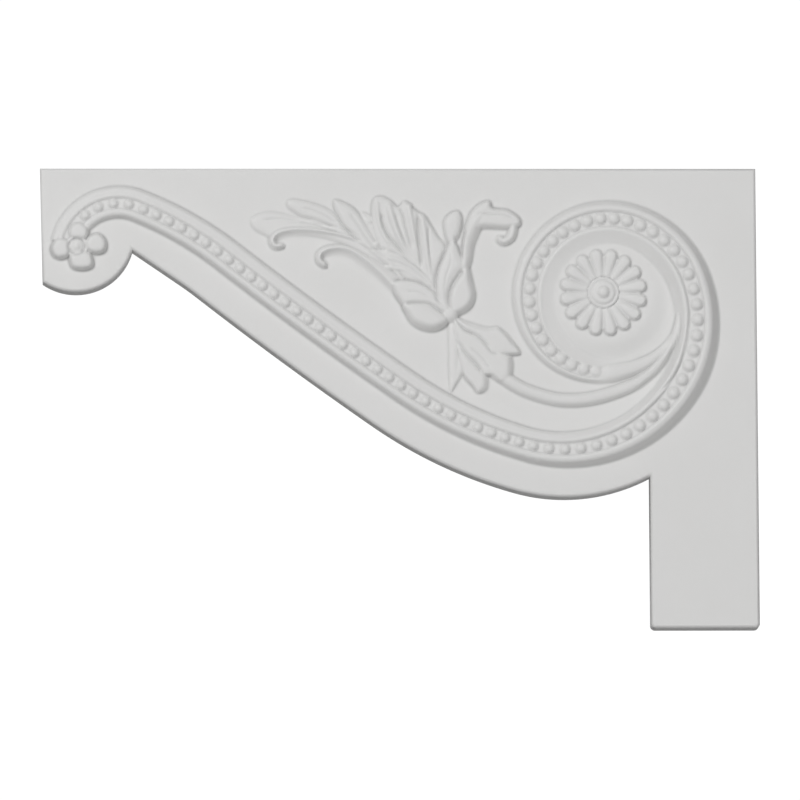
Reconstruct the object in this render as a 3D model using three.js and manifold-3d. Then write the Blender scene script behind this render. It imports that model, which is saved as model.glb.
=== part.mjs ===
import * as THREE from 'three';
import { mergeVertices } from 'three/addons/utils/BufferGeometryUtils.js';
import Module from 'manifold-3d';

// Stair bracket, moulded in one piece for the end of a stair tread.
// Millimetres, +Z up, +X towards the riser, carved front facing -Y, flat back on y = 0.
// The origin is on the back at mid-width, where the bracket is glued to the stair's side.

const wasm = await Module();
wasm.setup();

// Plate
const plateWidth = 300;
const plateHeight = 194;
const plateDepth = 10;
const originBelowTop = 60;
const edgeRounding = 1.8;
const roundingSteps = 2;
const footWidth = 45.4;
const footCornerRadius = 2;
const lobeRadius = 24.5;
const lobeLean = 1.1;

// Lower edge: it runs beside the pearl row, and from a place on the row it goes straight on
// towards the lobe
const pearlsToLowerEdge = 19.6;
const straightFrom = 68;
const straightLead = 38;

// Scroll: where its band starts, inset from the plate's left and top edges
const scrollInset = 12.2;
const scrollDrop = 30;
const scrollReachDrawn = 275;
const scrollMargin = 12.8;
const scrollHeading = 71.4;
const fieldArcs = 5;
const arcSegments = 6;
const samePoint = 0.001;
const mergeDistance = 1e-5;
const degreesPerStation = 9;
const longestStation = 24;

// Band across its width, measured from the pearl row. The shoulder and the hollow are places
// on the outer wall and the inner slope, as shares of their width and of the band's rise.
const channelHalfWidth = 2.5;
const channelDepth = 0.9;
const channelBevel = 0.2;
const rimWidth = 1.7;
const ridgeWidth = 1.9;
const wallShoulder = [0.35, 0.83];
const flankHollow = [0.4, 0.4];

// Pearls
const pearlRadius = 2.25;
const pearlProud = 0.5;
const pearlSides = 6;
const firstPearl = 12;
const lastPearl = 499;

// Flower on the scroll's left end
const flowerShift = { x: 3.2, z: -3.4 };
const flowerPetals = 4;
const flowerTurn = 5;
const flowerReach = 8.8;
const flowerPetalHalfWidth = 4;
const flowerPetalShape = [[0.26, 0.6], [0.5, 0.9], [0.75, 1], [1, 0.5]];
const flowerHeight = 2.6;
const flowerDomeRadius = 2.3;
const flowerDomeHeight = 3.4;
const flowerDomeSides = 10;

// Rosette inside the volute
const rosettePetals = 16;
const rosetteFirstAngle = 10.2;
const rosetteRadius = 18.5;
const petalRoot = 6.4;
const petalHeight = 2.6;
const petalShoulder = 0.86;
const petalTipShare = 0.4;
const hubRadius = 6.7;
const hubHeight = 2.8;
const hubGrooveRadius = 5.2;
const hubGrooveDepth = 0.8;
const domeRadius = 2.4;
const domeHeight = 4;
const domeShoulder = [0.62, 0.78];
const roundSides = 20;

// Sinking of each carved form into the plate, so that it grows out of it
const sink = 1;

const left = -plateWidth / 2;
const right = plateWidth / 2;
const top = originBelowTop;
const bottom = top - plateHeight;
const footLeft = right - footWidth;
const drawnScale = (plateWidth - scrollInset - scrollMargin) / scrollReachDrawn;

// The scroll as arcs that follow each other without a corner. A negative radius turns
// clockwise. Rise, wall and flank are the band's height, the width of its outer wall and
// the width of its inner slope at the end of the arc; pitch is the pearls' spacing on it.
const scrollArcs = [
  { radius: -21.7, length: 35.3, rise: 2.3, wall: 1.8, flank: 3.6, pitch: 6.3 },
  { radius: -148.5, length: 42.4, rise: 2.4, wall: 1.9, flank: 4.2, pitch: 6 },
  { radius: 1636, length: 90.9, rise: 2.5, wall: 2, flank: 4.2, pitch: 6 },
  { radius: 176.3, length: 59, rise: 3, wall: 2.6, flank: 3.2, pitch: 6.1 },
  { radius: 57.1, length: 80.1, rise: 4.9, wall: 4.9, flank: 3.6, pitch: 6.7 },
  { radius: 51.8, length: 42.4, rise: 5.4, wall: 5.4, flank: 4.5, pitch: 6.7 },
  { radius: 39.6, length: 31.1, rise: 5, wall: 4.6, flank: 6.2, pitch: 6 },
  { radius: 33.7, length: 88.6, rise: 3, wall: 3.2, flank: 5, pitch: 5.8 },
  { radius: 29.6, length: 54, rise: 0.5, wall: 0.8, flank: 1.2, pitch: 5.6 },
];
const scrollBeginning = { rise: 2, wall: 1.5, flank: 3 };

// Centres of the rosette, the leaf spray's root and the lobe, from the scroll's beginning
const rosetteShift = { x: 223.4, z: -22.9 };
const sprayShift = { x: 158.8, z: -33.2 };
const lobeShift = { x: 2.9, z: 2.1 };

// Leaf spray: each form runs along its line, given as right, up and half-width from the root
const sprayForms = [
  {
    height: 1.5,
    line: [[-26, 22, 1.7], [-44.1, 33.9, 2.9], [-59.6, 38.6, 3.4], [-73.5, 40.3, 2.5],
      [-82.7, 39.8, 0.4]],
  },
  { height: 1.7, line: [[-30.2, 28, 2.1], [-47, 41.5, 3.4], [-58.8, 46.2, 3.4], [-68.5, 49.2, 0.8]] },
  { height: 2, line: [[-29.4, 22, 2.1], [-37.8, 36.4, 4.6], [-44.1, 44.9, 4.2], [-48.3, 49.2, 1.3]] },
  {
    height: 2.4,
    line: [[-71.8, 28.8, 1.7], [-74.8, 31.8, 1.7], [-73.1, 35.2, 1.7], [-67.2, 36.9, 1.9],
      [-54.6, 36, 1.9], [-42, 32.2, 1.9], [-24.4, 18.6, 2.1]],
  },
  {
    height: 2.2,
    line: [[-53.3, 23.3, 1.9], [-54.2, 26.7, 1.7], [-51.2, 29.2, 1.7], [-45.8, 29.7, 1.9],
      [-39.5, 27.5, 1.9], [-20.2, 6.8, 2.1]],
  },
  {
    height: 2.6,
    line: [[-9.2, 11, 1.7], [-20.2, 23.7, 3.8], [-26, 37.3, 4.6], [-29.4, 46.6, 3.4],
      [-30.2, 49.6, 1.3]],
  },
  {
    height: 3,
    line: [[-8.4, 11, 1.7], [-15.5, 25.4, 3.8], [-20.2, 39, 4.6], [-23.5, 46.6, 3.8],
      [-24.8, 50.4, 1.3]],
  },
  {
    height: 2.8,
    line: [[-7.6, 11, 1.7], [-11.8, 25.4, 2.9], [-14.3, 38.1, 3.4], [-16, 45.8, 2.9],
      [-16.8, 49.2, 1.1]],
  },
  {
    height: 2.6,
    line: [[-6.3, 10.2, 1.7], [-5.5, 22.9, 3.4], [-6.7, 33.9, 3.8], [-9.2, 40.7, 2.5],
      [-10.9, 44.5, 0.8]],
  },
  { height: 2.2, line: [[-8.4, 10.6, 2.1], [-19.7, 19.9, 3.4], [-31.5, 28.8, 1.7]] },
  { height: 3.4, line: [[-5, 4.2, 2.5], [-14.3, 10.2, 4.2], [-23.9, 14, 1.7]] },
  { height: 3.6, line: [[-0.4, -0.8, 2.5], [-9.2, 1.3, 4.4], [-19.3, 5.1, 1.7]] },
  { height: 2.6, line: [[1.3, 32.2, 1.7], [1.3, 38.1, 3.4], [2.1, 42.4, 2.5], [3.4, 44.9, 0.8]] },
  { height: 3.2, line: [[-1.7, 3.4, 1.7], [-2.9, 11.9, 3.8], [-0.4, 22, 4.6], [1.7, 31.4, 2.1]] },
  {
    height: 3.8,
    line: [[1.3, 1.7, 2.5], [5.9, 8.9, 4.2], [7.6, 18.6, 2.9], [6.7, 28, 2.5],
      [8.4, 36, 3.4], [12.6, 42.8, 4.6], [17.2, 47.9, 2.1]],
  },
  { height: 3.2, line: [[10.9, 39.8, 3.4], [18.9, 42.4, 4.2], [25.2, 41.5, 3.4], [29.8, 39.8, 1.3]] },
  { height: 2.2, line: [[20.2, 37.7, 1.7], [24.4, 35.2, 2.3], [23.1, 31.8, 1.3]] },
  { height: 1.8, line: [[1.3, 0, 2.1], [1.7, -12.3, 3.8], [2.1, -22, 3.4], [0.4, -31.4, 0.4]] },
  { height: 2.4, line: [[2.1, -0.8, 2.5], [5.9, -13.6, 4.2], [8.8, -22.9, 3.8], [11.3, -30.5, 0.4]] },
  { height: 2.8, line: [[3.4, -0.8, 2.5], [10.9, -11.9, 4.6], [16.8, -18.6, 4.2], [22.7, -25.4, 1.1]] },
  { height: 3, line: [[3.4, 0, 2.5], [12.6, -5.1, 4.6], [21.4, -8.9, 5], [29.4, -14, 0.8]] },
];

// Tendril from the tuft, under the volute and up into the band's inner side
const tendril = {
  height: 2,
  line: [[17, -22, 2.4], [32.3, -31.4, 2.7], [51.2, -34.5, 2.7], [69, -31.5, 2.7],
    [84, -22.5, 2.5], [94, -7.5, 2], [97.3, 8, 1.6], [93.2, 24.6, 0.8]],
};
const stepsPerSpan = 1.15;
const formEndHeight = 0.45;
const formSection = [[-1, 0.3], [-0.55, 0.85], [0, 1], [0.55, 0.85], [1, 0.3]];

function solidOf(geometry) {
  const bare = geometry.clone();
  bare.deleteAttribute('normal');
  bare.deleteAttribute('uv');
  const merged = mergeVertices(bare, mergeDistance);
  const mesh = new wasm.Mesh({
    numProp: 3,
    vertProperties: new Float32Array(merged.attributes.position.array),
    triVerts: new Uint32Array(merged.index.array),
  });
  return new wasm.Manifold(mesh);
}

function geometryOf(solid) {
  const mesh = solid.getMesh();
  const geometry = new THREE.BufferGeometry();
  geometry.setAttribute('position', new THREE.BufferAttribute(mesh.vertProperties, 3));
  geometry.setIndex(new THREE.BufferAttribute(mesh.triVerts, 1));
  geometry.computeVertexNormals();
  return geometry;
}

function joined(solids) {
  return solids.reduce((whole, solid) => whole.add(solid));
}

// Moves every vertex of a geometry to the place that a function gives for it.
function bent(geometry, placeOf) {
  const position = geometry.attributes.position;
  for (let i = 0; i < position.count; i += 1) {
    const place = placeOf(position.getX(i), position.getY(i), position.getZ(i));
    position.setXYZ(i, place[0], place[1], place[2]);
  }
  return geometry;
}

// A section extruded over whole steps, one for each station along a form.
function stationed(section, stations) {
  const shape = new THREE.Shape(section.map(([across, up]) => new THREE.Vector2(across, up)));
  const steps = stations - 1;
  return new THREE.ExtrudeGeometry(shape, { depth: steps, steps, bevelEnabled: false });
}

const scrollStart = { x: left + scrollInset, z: top - scrollDrop };
const fromStart = (shift) => ({
  x: scrollStart.x + shift.x * drawnScale,
  z: scrollStart.z + shift.z * drawnScale,
});
const flowerCentre = fromStart(flowerShift);
const rosetteCentre = fromStart(rosetteShift);
const sprayRoot = fromStart(sprayShift);
const lobeCentre = fromStart(lobeShift);

const arcs = [];
let scrollLength = 0;
for (const arc of scrollArcs) {
  const before = arcs.length ? arcs[arcs.length - 1] : null;
  arcs.push({
    ...arc,
    radius: arc.radius * drawnScale,
    length: arc.length * drawnScale,
    begin: scrollLength,
    from: before ? before.end : { ...scrollStart, heading: THREE.MathUtils.degToRad(scrollHeading) },
    shapeBefore: before ?? scrollBeginning,
  });
  const added = arcs[arcs.length - 1];
  added.end = alongArc(added, added.length);
  scrollLength += added.length;
}

function alongArc(arc, distance) {
  const heading = arc.from.heading + distance / arc.radius;
  return {
    x: arc.from.x + arc.radius * (Math.sin(heading) - Math.sin(arc.from.heading)),
    z: arc.from.z + arc.radius * (Math.cos(arc.from.heading) - Math.cos(heading)),
    heading,
  };
}

// Place, heading and band shape at a distance along the scroll.
function scrollAt(distance) {
  const arc = arcs.find((each) => distance <= each.begin + each.length) ?? arcs[arcs.length - 1];
  const share = (distance - arc.begin) / arc.length;
  const between = (key) => THREE.MathUtils.lerp(arc.shapeBefore[key], arc[key], share);
  return {
    ...alongArc(arc, distance - arc.begin),
    rise: between('rise'),
    wall: between('wall'),
    flank: between('flank'),
    pitch: arc.pitch,
  };
}

// Point beside the scroll, to its left where the offset is positive.
function besideScroll(place, offset) {
  return [place.x - offset * Math.sin(place.heading), place.z + offset * Math.cos(place.heading)];
}

// A slab of the plate's depth with rounded edges. The plate is the lobe at the left, the field
// down to the scroll's lower edge, and the strip with the foot.
function plateSolid(outline) {
  const points = outline.getPoints(arcSegments);
  const apart = points.filter((point, i) => point.distanceTo(points.at(i - 1)) > samePoint);
  const geometry = new THREE.ExtrudeGeometry(new THREE.Shape(apart), {
    depth: plateDepth,
    bevelThickness: edgeRounding,
    bevelSize: edgeRounding,
    bevelOffset: -edgeRounding,
    bevelSegments: roundingSteps,
  });
  geometry.translate(0, 0, -edgeRounding);
  geometry.rotateX(Math.PI / 2);
  return solidOf(geometry);
}

function makeLobe() {
  const corner = left + lobeLean;
  const down = Math.sqrt(lobeRadius ** 2 - (lobeCentre.x - corner) ** 2);
  const shape = new THREE.Shape();
  shape.moveTo(left, top);
  shape.lineTo(corner, lobeCentre.z - down);
  const begin = Math.atan2(-down, corner - lobeCentre.x);
  shape.absarc(lobeCentre.x, lobeCentre.z, lobeRadius, begin, 0, false);
  shape.lineTo(lobeCentre.x + lobeRadius, top);
  return plateSolid(shape);
}

function makeField() {
  const shape = new THREE.Shape();
  const straightEnd = straightFrom * drawnScale;
  const from = scrollAt(straightEnd);
  const [x, z] = besideScroll(from, -pearlsToLowerEdge);
  const lead = straightLead * drawnScale;
  const begin = [x - lead * Math.cos(from.heading), z - lead * Math.sin(from.heading)];
  shape.moveTo(...begin);
  for (const arc of arcs.slice(1, fieldArcs)) {
    if (arc.begin + arc.length <= straightEnd) continue;
    const side = Math.sign(arc.radius);
    const centre = besideScroll(arc.from, arc.radius);
    const quarter = -side * Math.PI / 2;
    const radius = Math.abs(arc.radius + pearlsToLowerEdge);
    const heading = arc.begin < straightEnd ? from.heading : arc.from.heading;
    shape.absarc(...centre, radius, heading + quarter, arc.end.heading + quarter, side < 0);
  }
  const end = besideScroll(arcs[fieldArcs - 1].end, -pearlsToLowerEdge);
  shape.lineTo(right, end[1]);
  shape.lineTo(right, top);
  shape.lineTo(begin[0], top);
  return plateSolid(shape);
}

function makeFoot() {
  const shape = new THREE.Shape();
  const radius = footCornerRadius;
  shape.moveTo(footLeft, top);
  shape.lineTo(footLeft, bottom + radius);
  shape.absarc(footLeft + radius, bottom + radius, radius, Math.PI, 1.5 * Math.PI, false);
  shape.absarc(right - radius, bottom + radius, radius, 1.5 * Math.PI, 2 * Math.PI, false);
  shape.lineTo(right, top);
  return plateSolid(shape);
}

// Everything behind the back plane, where the rounding of the plate's back edges is cut off.
function makeWall() {
  const box = new THREE.BoxGeometry(2 * plateWidth, plateDepth, 2 * plateHeight);
  box.translate(0, plateDepth / 2, 0);
  return solidOf(box);
}

// Place in front of the plate: x, z and a height over its front face.
function inFront(x, z, height) {
  return [x, -plateDepth - height, z];
}

function bandStations() {
  const stations = [];
  for (const arc of arcs) {
    const turn = THREE.MathUtils.radToDeg(arc.length / Math.abs(arc.radius));
    const steps = Math.ceil(Math.max(turn / degreesPerStation, arc.length / longestStation));
    for (let i = 0; i < steps; i += 1) stations.push(arc.begin + arc.length * i / steps);
  }
  stations.push(scrollLength);
  return stations;
}

// Band: outer wall, rim, channel for the pearls, ridge and inner slope.
function makeBand() {
  const outerCrest = channelHalfWidth + rimWidth;
  const innerCrest = channelHalfWidth + ridgeWidth;
  const floorEdge = channelHalfWidth - channelBevel;
  const section = [
    [-outerCrest - 1, -1],
    [-outerCrest - 1, 0],
    [-outerCrest - wallShoulder[0], wallShoulder[1]],
    [-outerCrest, 1],
    [-channelHalfWidth, 1],
    [-floorEdge, 0],
    [floorEdge, 0],
    [channelHalfWidth, 1],
    [innerCrest, 1],
    [innerCrest + flankHollow[0], flankHollow[1]],
    [innerCrest + 1, 0],
    [innerCrest + 1, -1],
  ];
  const stations = bandStations();
  return solidOf(bent(stationed(section, stations.length), (across, up, step) => {
    const place = scrollAt(stations[Math.round(step)]);
    let offset = across;
    if (across < -outerCrest) offset = -outerCrest + (across + outerCrest) * place.wall;
    if (across > innerCrest) offset = innerCrest + (across - innerCrest) * place.flank;
    let height = place.rise * up;
    if (up < 0) height = -sink;
    else if (Math.abs(across) < channelHalfWidth) height = place.rise - channelDepth;
    return inFront(...besideScroll(place, offset), height);
  }));
}

// A round form: its profile is given as radius and height, from the axis outwards.
function makeRound(x, z, profile, sides) {
  const outline = [...profile].reverse();
  const radius = outline[0][0];
  const points = [[0, -sink], [radius, -sink], ...outline];
  const turned = points.map(([r, height]) => new THREE.Vector2(r, height));
  const geometry = new THREE.LatheGeometry(turned, sides);
  return solidOf(bent(geometry, (across, height, up) => inFront(x + across, z - up, height)));
}

function domeProfile(radius, height, base) {
  const shoulder = [domeShoulder[0] * radius, base + domeShoulder[1] * height];
  return [[0, base + height], shoulder, [radius, base]];
}

function makePearls() {
  const pearls = [];
  let distance = firstPearl * drawnScale;
  while (distance <= lastPearl * drawnScale) {
    const place = scrollAt(distance);
    const base = place.rise - channelDepth;
    const profile = domeProfile(pearlRadius, channelDepth + pearlProud, base);
    pearls.push(makeRound(place.x, place.z, profile, pearlSides));
    distance += place.pitch * drawnScale;
  }
  return pearls;
}

// A form that runs along a line of points given as x, z and half-width. It is an arch in
// section and grows lower towards its two ends.
function makeForm(line, height) {
  const stops = line.map(([x, z, halfWidth]) => new THREE.Vector3(x, z, halfWidth));
  const curve = new THREE.CatmullRomCurve3(stops);
  const steps = Math.ceil(stepsPerSpan * (line.length - 1));
  const section = [[-1, -1], ...formSection, [1, -1]].reverse();
  return solidOf(bent(stationed(section, steps + 1), (across, up, step) => {
    const share = step / steps;
    const place = curve.getPoint(share);
    const along = curve.getTangent(share);
    const reach = across * place.z / Math.hypot(along.x, along.y);
    const crown = formEndHeight + (1 - formEndHeight) * Math.sin(Math.PI * share);
    const rise = up < 0 ? -sink : up * height * crown;
    return inFront(place.x - reach * along.y, place.y + reach * along.x, rise);
  }));
}

// Petals round a centre, each running outwards.
function makePetals(centre, count, firstAngle, petal) {
  const petals = [];
  for (let i = 0; i < count; i += 1) {
    const angle = THREE.MathUtils.degToRad(firstAngle + i * 360 / count);
    const line = petal.line.map(([reach, halfWidth]) => [
      centre.x + reach * Math.cos(angle),
      centre.z + reach * Math.sin(angle),
      halfWidth,
    ]);
    petals.push(makeForm(line, petal.height));
  }
  return petals;
}

function makeRosette() {
  const spread = Math.tan(Math.PI / rosettePetals);
  const petal = {
    height: petalHeight,
    line: [
      [petalRoot, petalRoot * spread],
      [(petalRoot + rosetteRadius) / 2, (petalRoot + rosetteRadius) / 2 * spread],
      [petalShoulder * rosetteRadius, petalShoulder * rosetteRadius * spread],
      [rosetteRadius, petalTipShare * rosetteRadius * spread],
    ],
  };
  const hub = [
    ...domeProfile(domeRadius, domeHeight - hubHeight, hubHeight),
    [hubGrooveRadius - hubGrooveDepth, hubHeight],
    [hubGrooveRadius, hubHeight - hubGrooveDepth],
    [hubGrooveRadius + hubGrooveDepth, hubHeight],
    [hubRadius, hubHeight - hubGrooveDepth],
  ];
  return [
    ...makePetals(rosetteCentre, rosettePetals, rosetteFirstAngle, petal),
    makeRound(rosetteCentre.x, rosetteCentre.z, hub, roundSides),
  ];
}

function makeFlower() {
  const petal = {
    height: flowerHeight,
    line: flowerPetalShape.map(([reach, width]) => [reach * flowerReach, width * flowerPetalHalfWidth]),
  };
  const dome = domeProfile(flowerDomeRadius, flowerDomeHeight, 0);
  return [
    ...makePetals(flowerCentre, flowerPetals, flowerTurn, petal),
    makeRound(flowerCentre.x, flowerCentre.z, dome, flowerDomeSides),
  ];
}

function makeSpray() {
  return [...sprayForms, tendril].map(({ height, line }) => makeForm(
    line.map(([across, up, halfWidth]) => [
      sprayRoot.x + across * drawnScale,
      sprayRoot.z + up * drawnScale,
      halfWidth * drawnScale,
    ]),
    height,
  ));
}

const plate = joined([makeLobe(), makeField(), makeFoot()]).subtract(makeWall());
const carving = joined([makeBand(), ...makePearls(), ...makeRosette(), ...makeFlower(), ...makeSpray()]);

const bracket = new THREE.Mesh(
  geometryOf(plate.add(carving)),
  new THREE.MeshStandardMaterial({ color: 0xf2f2f0, roughness: 0.62, metalness: 0 }),
);
bracket.name = 'bracket';

const group = new THREE.Group();
group.add(bracket);

export default group;
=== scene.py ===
# Stair bracket: one white-primed moulding with a beaded scroll, a leaf spray and a rosette.
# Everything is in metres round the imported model's frame; the carving is worked in millimetres.
import math

import bmesh
import bpy
import numpy as np
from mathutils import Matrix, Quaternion, Vector


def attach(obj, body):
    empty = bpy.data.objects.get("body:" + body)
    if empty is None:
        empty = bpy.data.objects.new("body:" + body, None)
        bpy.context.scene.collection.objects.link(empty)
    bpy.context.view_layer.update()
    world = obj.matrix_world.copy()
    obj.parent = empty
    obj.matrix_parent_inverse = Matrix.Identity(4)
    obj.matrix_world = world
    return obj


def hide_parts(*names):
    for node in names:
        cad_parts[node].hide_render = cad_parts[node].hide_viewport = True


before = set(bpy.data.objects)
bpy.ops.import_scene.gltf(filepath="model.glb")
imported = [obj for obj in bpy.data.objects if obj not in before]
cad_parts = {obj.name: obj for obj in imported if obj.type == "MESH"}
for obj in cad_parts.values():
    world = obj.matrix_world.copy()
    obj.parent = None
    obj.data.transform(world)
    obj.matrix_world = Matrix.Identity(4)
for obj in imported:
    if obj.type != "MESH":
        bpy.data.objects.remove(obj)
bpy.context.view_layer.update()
scene = bpy.context.scene
mm = 0.001

plate = dict(
    width=300.0,
    height=194.0,
    depth=10.0,
    top=60.0,  # height of the top edge
    rounding=1.8,
    roundingSegments=6,
    footWidth=45.4,
    footCorner=2.0,
    lobeCentre=(-134.9, 32.1),
    lobeRadius=24.5,
    lean=1.1,  # how far the left side leans in towards the lobe
    margin=19.6,  # from the pearl row to the lower edge
    straightFrom=68.0,  # the lower edge goes straight on from beside this place on the row
    straightLead=38.0,  # and this far back
    leadPoints=30,
    pointSpacing=1.2,
    cornerStep=15,  # degrees
)


# Camera: a long lens a little below the bracket and to its left
camera = dict(
    azimuth=-2.0,
    elevation=-7.7,
    roll=-0.295,
    distance=4.0,
    width=0.3339,  # metres across the picture at the aim
    aim=(0.0002, -0.012, -0.0383),
    sensor=36,
    farthest=50,
)


def makeCamera():
    azimuth = math.radians(camera["azimuth"])
    elevation = math.radians(camera["elevation"])
    towards = Vector((math.sin(azimuth) * math.cos(elevation),
                      -math.cos(azimuth) * math.cos(elevation),
                      math.sin(elevation)))
    data = bpy.data.cameras.new("camera")
    data.sensor_width = camera["sensor"]
    data.lens = camera["sensor"] * camera["distance"] / camera["width"]
    data.clip_end = camera["farthest"]
    viewer = bpy.data.objects.new("camera", data)
    viewer.location = Vector(camera["aim"]) + towards * camera["distance"]
    tilt = Quaternion((0, 0, 1), math.radians(camera["roll"]))
    viewer.rotation_euler = (towards.to_track_quat("Z", "Y") @ tilt).to_euler()
    scene.collection.objects.link(viewer)
    scene.camera = viewer


makeCamera()
print("camera placed")


# Studio: a pale floor, a white backdrop and soft lights from the front and the upper left
studio = dict(
    floorLevel=-0.85,
    floorSize=24,
    floorColour=(0.6, 0.6, 0.6, 1),
    floorRoughness=0.9,
    backdropAt=(-0.2, 6.2, 0.8),
    backdropSize=5,
    backdropStrength=1.05,
    skyStrength=0.15,
    # place, size, strength; each light is turned to the bracket
    lights=[
        ((-1.4, -2.5, 1.25), 0.9, 41.8),
        ((0.9, -3.2, 0.1), 1.8, 28.0),
        ((2.0, -1.5, -1.4), 1.0, 5.0),
    ],
)


def makeStudio():
    floorAt = (0, 0, studio["floorLevel"])
    bpy.ops.mesh.primitive_plane_add(size=studio["floorSize"], location=floorAt)
    floor = bpy.context.object
    floor.name = "floor"
    paint = bpy.data.materials.new("floor paint")
    paint.use_nodes = True
    shader = paint.node_tree.nodes["Principled BSDF"]
    shader.inputs["Base Color"].default_value = studio["floorColour"]
    shader.inputs["Roughness"].default_value = studio["floorRoughness"]
    floor.data.materials.append(paint)

    bpy.ops.mesh.primitive_plane_add(size=studio["backdropSize"], location=studio["backdropAt"],
                                     rotation=(math.radians(90), 0, 0))
    backdrop = bpy.context.object
    backdrop.name = "backdrop"
    glow = bpy.data.materials.new("backdrop glow")
    glow.use_nodes = True
    nodes = glow.node_tree.nodes
    nodes.remove(nodes["Principled BSDF"])
    emission = nodes.new("ShaderNodeEmission")
    emission.inputs["Strength"].default_value = studio["backdropStrength"]
    glow.node_tree.links.new(emission.outputs[0], nodes["Material Output"].inputs["Surface"])
    backdrop.data.materials.append(glow)

    world = bpy.data.worlds.new("sky")
    world.use_nodes = True
    sky = world.node_tree.nodes["Background"]
    sky.inputs["Color"].default_value = (1, 1, 1, 1)
    sky.inputs["Strength"].default_value = studio["skyStrength"]
    scene.world = world
    for number, (place, size, strength) in enumerate(studio["lights"]):
        data = bpy.data.lights.new(f"softbox {number}", "AREA")
        data.size = size
        data.energy = strength
        lamp = bpy.data.objects.new(data.name, data)
        lamp.location = place
        towards = Vector(place) - Vector(camera["aim"])
        lamp.rotation_euler = towards.to_track_quat("Z", "Y").to_euler()
        scene.collection.objects.link(lamp)
    scene.view_settings.view_transform = "Standard"


makeStudio()
print("studio made")


# Relief of the carved front: a height over the plate, worked out on a fine grid of cells.
# Points of the carving are given on its drawing, in steps right and down.
drawing = dict(
    middle=400.0,  # where the plate's middle lies on the drawing
    topLine=166.9,  # and its top edge
    acrossStep=0.42,  # millimetres to a step of the drawing
    downStep=0.4238,
)

cells = dict(
    step=0.24,  # millimetres
    reach=2.0,  # how far the cells go past the plate
    around=0.5,  # how far the cells looked at go past a form
    softening=1,  # rounds of smoothing, which give the edges a moulding's softness
)

forms = dict(
    outlineSteps=6,  # points to each piece of a smooth outline
    lineSteps=5,  # and of a smooth line
    thinnest=0.05,  # a strand's least width
    taper=(0, 0.25, 0.75, 1),  # where a strand begins, is full, thins and ends
    grooveReach=3,  # how many of its widths a groove goes to each side
    grooveFades=0.12,  # the share of a groove over which it fades
    grooveLeast=0.15,  # and what is left of its depth at the end
    domeFillet=0.1,
)


def onPlate(points):
    points = np.array(points, float)
    placed = points.copy()
    placed[:, 0] = (points[:, 0] - drawing["middle"]) * drawing["acrossStep"]
    placed[:, 1] = plate["top"] - (points[:, 1] - drawing["topLine"]) * drawing["downStep"]
    placed[:, 2:] = points[:, 2:] * drawing["acrossStep"]
    return placed


def curveThrough(points, steps, closed=False):
    # a smooth line through the points, with their widths
    points = np.array(points, float)
    if closed:
        padded = np.vstack([points[-1], points, points[:2]])
    else:
        padded = np.vstack([2 * points[0] - points[1], points, 2 * points[-1] - points[-2]])
    pieces = []
    for i in range(len(padded) - 3):
        a, b, c, d = padded[i:i + 4]
        last = i == len(padded) - 4 and not closed
        t = np.linspace(0, 1, steps, endpoint=last)[:, None]
        bend = (2 * a - 5 * b + 4 * c - d) * t ** 2 + (3 * b - a - 3 * c + d) * t ** 3
        pieces.append(0.5 * (2 * b + (c - a) * t + bend))
    return np.vstack(pieces)


def smoothed(height, rounds):
    for i in range(rounds):
        for axis in (0, 1):
            ahead = np.roll(height, 1, axis)
            behind = np.roll(height, -1, axis)
            height = 0.5 * height + 0.25 * (ahead + behind)
    return height


def eased(t):
    t = np.clip(t, 0, 1)
    return t * t * (3 - 2 * t)


def easedOver(along, span):
    first, last = span
    return eased((along - first) / (last - first))


def roundedRise(t, power):
    # from 0 at the foot to 1 at the crest, steep first and then rounded over
    return 1 - (1 - np.clip(t, 0, 1)) ** power


def beside(x, z, start, run):
    # the share along a straight run where each place lies beside it
    square = max(run[:2] @ run[:2], 1e-9)
    return np.clip(((x - start[0]) * run[0] + (z - start[1]) * run[1]) / square, 0, 1)


def blended(low, high, fillet):
    # the higher of two heights, with a small fillet where they meet
    share = np.clip(0.5 + 0.5 * (high - low) / fillet, 0, 1)
    return low * (1 - share) + high * share + fillet * share * (1 - share)


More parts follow.
